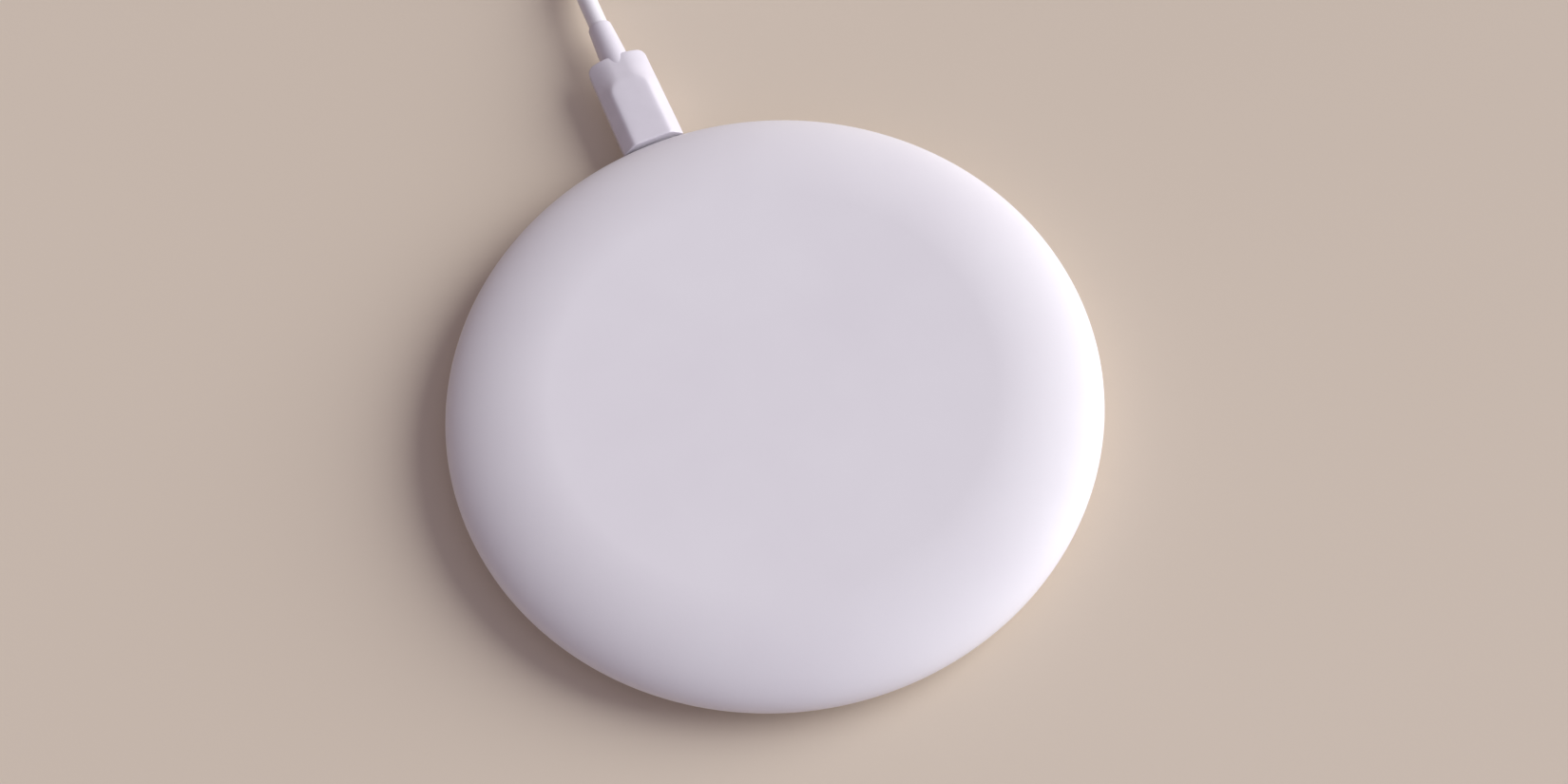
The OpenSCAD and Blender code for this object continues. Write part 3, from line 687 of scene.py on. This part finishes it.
def make_screw(name, head_r, head_h, shank_r, length, pitch):
    """A screw along +Z from its head's face: pan head, cross recess, cut thread, tapered tip."""
    segments, steps_a_turn, depth, tip, tip_share = 36, 8, 0.26 * shank_r, 0.5 * pitch, 0.55
    angles = [2 * math.pi * i / segments for i in range(segments)]
    # Shares of the head's radius and height
    head = [(0.62, 0), (0.8, 0.03), (0.9, 0.12), (0.96, 0.28), (1, 0.5), (1, 0.9), (0.97, 1)]
    outline = [(head_r * r, head_h * z) for r, z in head] + [(shank_r, head_h)]
    rings = [[Vector((r * math.cos(a), r * math.sin(a), z)) for a in angles] for r, z in outline]
    rows = round((length - head_h) / pitch * steps_a_turn)
    for i in range(1, rows + 1):
        z = head_h + (length - head_h) * i / rows
        taper = min(1, tip_share + (1 - tip_share) * (length - z) / tip)
        ring = []
        for a in angles:
            turn = (z / pitch - a / (2 * math.pi)) % 1
            groove = depth * (1 - abs(2 * turn - 1)) * rise(z, head_h + pitch, pitch / 2)
            r = (shank_r - groove) * taper
            ring.append(Vector((r * math.cos(a), r * math.sin(a), z)))
        rings.append(ring)
    screw = loft(name, rings)
    arm, arm_w, recess_h = 0.55 * head_r, 0.15 * head_r, 0.55 * head_h
    for x, y in ((arm, arm_w), (arm_w, arm)):
        cut(screw, box_piece("recess_cutter", (-x, -y, -head_h), (x, y, recess_h)))
    screw.data.polygons.foreach_set("use_smooth", [True] * len(screw.data.polygons))
    screw.data.set_sharp_from_angle(angle=math.radians(28))
    return screw


def make_screws(name, node, head_h, shank_r, pitch, head_up):
    """A screw in place of each solid of the node."""
    boxes = islands(node)
    first_stop, stop_step = 0.4, 1.3
    low, high = boxes[0]
    first = make_screw(name, (high.x - low.x) / 2, head_h, shank_r, high.z - low.z, pitch)
    parts = []
    for low, high in boxes:
        part = bpy.data.objects.new(name, first.data.copy())
        bpy.context.scene.collection.objects.link(part)
        turn = Matrix.Rotation(math.pi, 4, "X") if head_up else Matrix.Identity(4)
        face = Vector(((low.x + high.x) / 2, (low.y + high.y) / 2, high.z if head_up else low.z))
        # No two screws stop at the same turn
        stop = Matrix.Rotation(stop_step * len(parts) + first_stop, 4, "Z")
        part.data.transform(Matrix.Translation(face) @ stop @ turn)
        parts.append(part)
    bpy.data.objects.remove(first)
    return join(name, parts)


# ---------- materials ----------

class Look:
    """A procedural material on one Principled shader, in the object's own coordinates."""

    def __init__(self, name, colour, roughness, metallic=0.0, **sockets):
        self.material = bpy.data.materials.new(name)
        self.material.use_nodes = True
        self.tree = self.material.node_tree
        self.shader = self.tree.nodes["Principled BSDF"]
        self.coordinates = self.tree.nodes.new("ShaderNodeTexCoord").outputs["Object"]
        self.set("Base Color", (*colour, 1))
        self.set("Roughness", roughness)
        self.set("Metallic", metallic)
        for socket, value in sockets.items():
            self.set(socket.replace("_", " "), value)
        self.normal = None

    def set(self, socket, value):
        self.shader.inputs[socket].default_value = value

    def node(self, kind, inputs, output=0, **props):
        """Adds a shader node, with each input linked or set, and returns one of its outputs."""
        made = self.tree.nodes.new("ShaderNode" + kind)
        for prop, value in props.items():
            setattr(made, prop, value)
        for socket, value in inputs.items():
            if isinstance(value, bpy.types.NodeSocket):
                self.tree.links.new(value, made.inputs[socket])
            else:
                made.inputs[socket].default_value = value
        return made.outputs[output]

    def stretched(self, scale):
        """Coordinates scaled apart in X, Y and Z."""
        return self.node("Mapping", {"Vector": self.coordinates, "Scale": scale})

    def noise(self, size, detail=2.0, rough=0.5, vector=None):
        """Noise whose blotches are about size across."""
        return self.node("TexNoise", {
            "Vector": vector or self.coordinates, "Scale": 1 / size,
            "Detail": detail, "Roughness": rough,
        })

    def cells(self, size, output=0, **props):
        """Cells about size across: output 0 is the distance from their middles, 1 their colour."""
        return self.node("TexVoronoi", {"Vector": self.coordinates, "Scale": 1 / size}, output, **props)

    def between(self, value, low, high, to_low, to_high):
        """The value, spread from one range to another."""
        return self.node("MapRange", {
            "Value": value, "From Min": low, "From Max": high, "To Min": to_low, "To Max": to_high,
        })

    def tint(self, factor, colour_low, colour_high, low=0.35, high=0.65):
        """Base colour that runs from one colour to another with the factor."""
        ramp = self.tree.nodes.new("ShaderNodeValToRGB")
        ramp.color_ramp.elements[0].position = low
        ramp.color_ramp.elements[0].color = (*colour_low, 1)
        ramp.color_ramp.elements[1].position = high
        ramp.color_ramp.elements[1].color = (*colour_high, 1)
        self.tree.links.new(factor, ramp.inputs["Fac"])
        self.tree.links.new(ramp.outputs["Color"], self.shader.inputs["Base Color"])

    def gloss(self, factor, rough_low, rough_high):
        """Roughness that runs from one value to another with the factor."""
        rough = self.between(factor, 0.3, 0.7, rough_low, rough_high)
        self.tree.links.new(rough, self.shader.inputs["Roughness"])

    def relief(self, height, depth, strength=1.0):
        """Adds bumps of the given depth."""
        inputs = {"Height": height, "Distance": depth, "Strength": strength}
        if self.normal is not None:
            inputs["Normal"] = self.normal
        self.normal = self.node("Bump", inputs)
        self.tree.links.new(self.normal, self.shader.inputs["Normal"])


def shade(colour, by):
    """The colour, this many times as light."""
    return tuple(min(c * by, 1) for c in colour)


def moulded(name, colour, roughness, grain, depth, blotch, **sockets):
    """Moulded plastic or rubber: fine grain, faint blotches, and gloss that varies with them."""
    look = Look(name, colour, roughness, **sockets)
    blotches = look.noise(blotch, 4, 0.55)
    look.tint(blotches, shade(colour, 0.975), shade(colour, 1.02))
    look.gloss(look.noise(blotch / 3, 3), roughness - 0.05, roughness + 0.06)
    look.relief(look.noise(grain, 3, 0.6), depth)
    look.relief(look.noise(blotch / 2, 2), depth * 2, 0.5)
    return look.material


def metal(name, colour, roughness, brushed, scratch=0.05 * MM, **sockets):
    """Plated or rolled metal: fine streaks or grain, faint stains, and uneven gloss.
    Brushed squeezes the grain on each axis: 1 leaves it even, and less draws it out."""
    look = Look(name, colour, roughness, 1.0, **sockets)
    streaks = look.noise(scratch, 3, 0.6, look.stretched(brushed))
    look.tint(look.noise(4 * MM, 4, 0.6), shade(colour, 0.9), shade(colour, 1.06))
    look.gloss(streaks, roughness - 0.08, roughness + 0.12)
    look.relief(streaks, 0.004 * MM, 0.6)
    return look.material


def strap_fabric(name, colour):
    """Hook-and-loop strap: a fine ribbed weave with a loose nap over it."""
    look = Look(name, colour, 0.85, Sheen_Weight=0.35, Sheen_Roughness=0.5)
    ribs = look.node("TexWave", {
        "Vector": look.coordinates, "Scale": 1 / (1.6 * MM), "Distortion": 1.5, "Detail": 2.0,
        "Detail Scale": 3.0,
    }, output=1, wave_type="BANDS", bands_direction="Z")
    nap = look.noise(0.22 * MM, 5, 0.7)
    look.tint(nap, shade(colour, 0.72), shade(colour, 1.12), 0.3, 0.7)
    look.relief(ribs, 0.05 * MM, 0.6)
    look.relief(nap, 0.12 * MM, 0.8)
    return look.material


def speckled(name, colour, roughness, spot, light, **sockets):
    """Sintered or pressed powder: grains a little lighter and darker than the rest."""
    look = Look(name, colour, roughness, **sockets)
    grains = look.cells(spot)
    look.tint(grains, shade(colour, light), shade(colour, 0.85), 0.1, 0.7)
    look.gloss(look.noise(3 * MM, 3), roughness - 0.06, roughness + 0.08)
    look.relief(look.noise(spot, 4, 0.7), 0.02 * MM, 0.7)
    return look.material


def solder_mask(name, colour):
    """Circuit board: raised tracks under the mask, in patches that run in X or in Y, and plated vias."""
    look = Look(name, colour, 0.3, Coat_Weight=0.5, Coat_Roughness=0.15)
    patches = look.cells(6 * MM, 1, distance="CHEBYCHEV")
    along_x = look.between(patches, 0.49, 0.5, 0, 1)
    grounds = look.between(look.noise(7 * MM, 1), 0.5, 0.51, 0, 1)
    turned = look.node("Mapping", {"Vector": look.coordinates, "Rotation": (0, 0, math.pi / 2)})
    black, grey, white = ((level, level, level, 1) for level in (0, 0.75, 1))
    tracks = [look.node("TexBrick", {
        "Vector": vector, "Scale": 1 / (2.4 * MM), "Mortar Size": 0.035, "Mortar Smooth": 0.1,
        "Brick Width": width, "Row Height": 0.24, "Color1": black, "Color2": black, "Mortar": white,
    }, offset=0.37) for vector, width in ((look.coordinates, 4.3), (turned, 3.1))]
    routed = look.node("MixRGB", {"Fac": along_x, "Color1": tracks[0], "Color2": tracks[1]})
    copper = look.node("MixRGB", {"Fac": grounds, "Color1": routed, "Color2": grey})
    vias = look.between(look.cells(3.1 * MM), 0.09, 0.11, 1, 0)
    drilled = look.node("MixRGB", {"Fac": vias, "Color1": copper, "Color2": black})
    look.tint(drilled, colour, shade(colour, 1.7), 0.1, 0.9)
    look.relief(copper, 0.035 * MM, 0.5)
    look.relief(vias, 0.05 * MM, 0.7)
    look.relief(look.noise(0.3 * MM, 2), 0.01 * MM, 0.5)
    return look.material


def make_looks():
    """One finished material for each of the record's slots."""
    skin = Look(
        "silicone_white", (0.83, 0.8, 0.84), 0.55,
        Sheen_Weight=0.12, Sheen_Roughness=0.5, IOR=1.42,
    )
    clouds = skin.noise(26 * MM, 5, 0.5)
    skin.tint(clouds, (0.81, 0.775, 0.82), (0.835, 0.805, 0.845), 0.3, 0.7)
    skin.gloss(skin.noise(7 * MM, 3), 0.5, 0.62)
    skin.relief(skin.noise(0.16 * MM, 3, 0.65), 0.012 * MM, 0.8)
    skin.relief(skin.noise(1.1 * MM, 2), 0.01 * MM, 0.5)
    adhesive = Look("adhesive", (0.82, 0.8, 0.78), 0.7)
    fibres = adhesive.noise(0.3 * MM, 4, 0.7, adhesive.stretched((1, 0.15, 1)))
    adhesive.tint(fibres, (0.74, 0.72, 0.69), (0.88, 0.87, 0.85))
    adhesive.relief(fibres, 0.03 * MM)
    along_x, along_y, all_ways = (0.04, 1, 1), (1, 0.04, 1), (1, 1, 1)
    enamel = {"Coat_Weight": 0.6, "Coat_Roughness": 0.12}
    resin = {"Coat_Weight": 0.7, "Coat_Roughness": 0.1}
    looks = {"silicone_white": skin.material, "adhesive": adhesive.material}
    # Colour, roughness, then in millimetres the grain's size and depth and the blotches' size
    for name, colour, roughness, grain, depth, blotch, sockets in (
        ("plastic_white", (0.82, 0.8, 0.82), 0.5, 0.25, 0.02, 18, {}),
        ("grip_white", (0.75, 0.71, 0.77), 0.4, 0.14, 0.008, 5, {}),
        ("cord_white", (0.82, 0.79, 0.83), 0.45, 0.3, 0.012, 9, {"Sheen_Weight": 0.08}),
        ("foot_rubber", (0.33, 0.33, 0.35), 0.75, 0.22, 0.04, 6, {}),
        ("insulator_black", (0.03, 0.03, 0.032), 0.45, 0.15, 0.01, 3, {}),
        ("insulator_white", (0.8, 0.8, 0.79), 0.45, 0.15, 0.01, 3, {}),
    ):
        looks[name] = moulded(name, colour, roughness, grain * MM, depth * MM, blotch * MM, **sockets)
    for name, colour, roughness, brushed, sockets in (
        ("screw_steel", (0.62, 0.62, 0.64), 0.3, all_ways, {}),
        ("coil_copper", (0.75, 0.38, 0.2), 0.28, all_ways, enamel),
        ("shield_aluminium", (0.8, 0.8, 0.81), 0.3, along_x, {}),
        ("nickel_steel", (0.74, 0.73, 0.72), 0.24, along_y, {}),
        ("contact_gold", (0.9, 0.66, 0.3), 0.2, all_ways, {}),
    ):
        looks[name] = metal(name, colour, roughness, brushed, **sockets)
    # Colour, roughness, the grains' size in millimetres and how much lighter some of them are
    for name, colour, roughness, spot, light, sockets in (
        ("ferrite", (0.06, 0.06, 0.068), 0.6, 0.35, 1.6, {}),
        ("sensor_black", (0.03, 0.03, 0.035), 0.25, 0.4, 1.3, resin),
        ("chip_black", (0.028, 0.028, 0.03), 0.6, 0.12, 1.5, {}),
        ("capacitor_sand", (0.42, 0.31, 0.18), 0.4, 0.2, 1.15, {}),
        ("inductor_grey", (0.2, 0.2, 0.21), 0.65, 0.25, 1.5, {}),
        ("thermal_grey", (0.5, 0.54, 0.6), 0.8, 0.3, 1.12, {}),
    ):
        looks[name] = speckled(name, colour, roughness, spot * MM, light, **sockets)
    looks["board_green"] = solder_mask("board_green", (0.02, 0.16, 0.08))
    looks["tie_grey"] = strap_fabric("tie_grey", (0.5, 0.5, 0.52))
    return looks


# ---------- stage ----------

def make_stage():
    """A plain pale floor, one broad soft light from the right, and light all round that is
    warm from below and pale from above."""
    half = 4
    corners = [(-half, -half, 0), (half, -half, 0), (half, half, 0), (-half, half, 0)]
    floor = new_piece("floor", corners, [(0, 1, 2, 3)])
    look = Look("floor", (0.7, 0.6, 0.49), 0.7)
    look.tint(look.noise(0.25, 3), (0.69, 0.59, 0.48), (0.71, 0.61, 0.5))
    look.relief(look.noise(0.6 * MM, 3), 0.02 * MM, 0.4)
    floor.data.materials.append(look.material)
    light = bpy.data.lights.new("key", "SUN")
    light.energy = 3.65
    light.angle = math.radians(54)
    light.color = (0.98, 1, 1)
    key = bpy.data.objects.new("key", light)
    bpy.context.scene.collection.objects.link(key)
    towards = Vector((0.89, -0.13, 0.43)).normalized()
    key.rotation_euler = towards.to_track_quat("Z", "Y").to_euler()
    world = bpy.data.worlds.new("world")
    bpy.context.scene.world = world
    world.use_nodes = True
    tree = world.node_tree
    dot = tree.nodes.new("ShaderNodeVectorMath")
    dot.operation = "DOT_PRODUCT"
    dot.inputs[1].default_value = Vector((0.143, -0.565, 0.8)).normalized()
    ramp = tree.nodes.new("ShaderNodeValToRGB")
    ramp.color_ramp.elements[0].color = (0.44, 0.3, 0.24, 1)
    ramp.color_ramp.elements[1].color = (0.86, 0.81, 1.0, 1)
    height = tree.nodes.new("ShaderNodeMapRange")
    height.inputs["From Min"].default_value = -0.3
    height.inputs["From Max"].default_value = 0.9
    tree.links.new(tree.nodes.new("ShaderNodeTexCoord").outputs["Generated"], dot.inputs[0])
    tree.links.new(dot.outputs["Value"], height.inputs["Value"])
    tree.links.new(height.outputs["Result"], ramp.inputs["Fac"])
    tree.links.new(ramp.outputs["Color"], tree.nodes["Background"].inputs["Color"])
    tree.nodes["Background"].inputs["Strength"].default_value = 0.42
    bpy.context.scene.view_settings.view_transform = "Standard"


# ---------- everything, in place ----------

make_camera()
cord_line = cord_points()
cord = make_cord(cord_line)
LOOKS = make_looks()
for node, piece in NODES.items():
    piece.material_slots[0].material = LOOKS[SLOT_OF[node]]


def put(piece, *nodes, coat=True):
    """Makes the piece stand in for these nodes: puts it on their body and hides them. It takes the
    material of their slot too, unless it has its own."""
    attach(piece, BODY_OF[nodes[0]])
    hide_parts(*nodes)
    if coat:
        piece.data.materials.clear()
        piece.data.materials.append(LOOKS[SLOT_OF[nodes[0]]])
    return piece


put(make_skin(), "soft_skin")
put(make_foot_ring(), "foot_ring")
put(make_winding(), "charging_coil")
for name, node, body_slot, end_share in (
    ("resonant_capacitor_set", "resonant_capacitors", "capacitor_sand", 0.18),
    ("input_capacitor_set", "input_capacitors", "capacitor_sand", 0.2),
    ("chip_resistor_set", "chip_resistors", "chip_black", 0.22),
):
    made = make_chip_parts(name, node, LOOKS[body_slot], LOOKS["nickel_steel"], end_share)
    put(made, node, coat=False)

# In millimetres: the head's height, the shank's radius and the thread's pitch
for name, node, head_h, shank_r, pitch, head_up in (
    ("case_screw_set", "case_screws", 1.1, 1, 0.7, False),
    ("shield_screw_set", "shield_screws", 0.9, 0.7, 0.5, False),
    ("board_screw_set", "board_screws", 1, 0.8, 0.5, True),
):
    put(make_screws(name, node, head_h * MM, shank_r * MM, pitch * MM, head_up), node)

put(cord, "cord_lead", "cord_coil", "cord_tail")
grip = put(make_plug_grip(), "plug_grip")
neck_place = Matrix.Translation((0, RELIEF_LOW.y, PORT_Z))
neck_l = RELIEF_HIGH.y - RELIEF_LOW.y
neck = make_neck("plug_neck", neck_place, neck_l, root_d=5 * MM, sunk=3 * MM)
put(neck, "plug_strain_relief")
far_grip = put(make_usb_a_grip(), "usb_a_grip")
far_place = usb_a_place() @ Matrix.Translation((0, USB_A_L, 0))
far_neck = make_neck("usb_a_neck", far_place, USB_A_NECK_L, root_d=5.6 * MM, sunk=2 * MM)
put(far_neck, "usb_a_strain_relief")
tie_loop, tie_tab = make_tie()
put(tie_loop, "cord_tie")
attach(tie_tab, BODY_OF["cord_tie"])
tie_tab.data.materials.append(LOOKS[SLOT_OF["cord_tie"]])

[tuple(p) for p in cord_line]
make_stage()
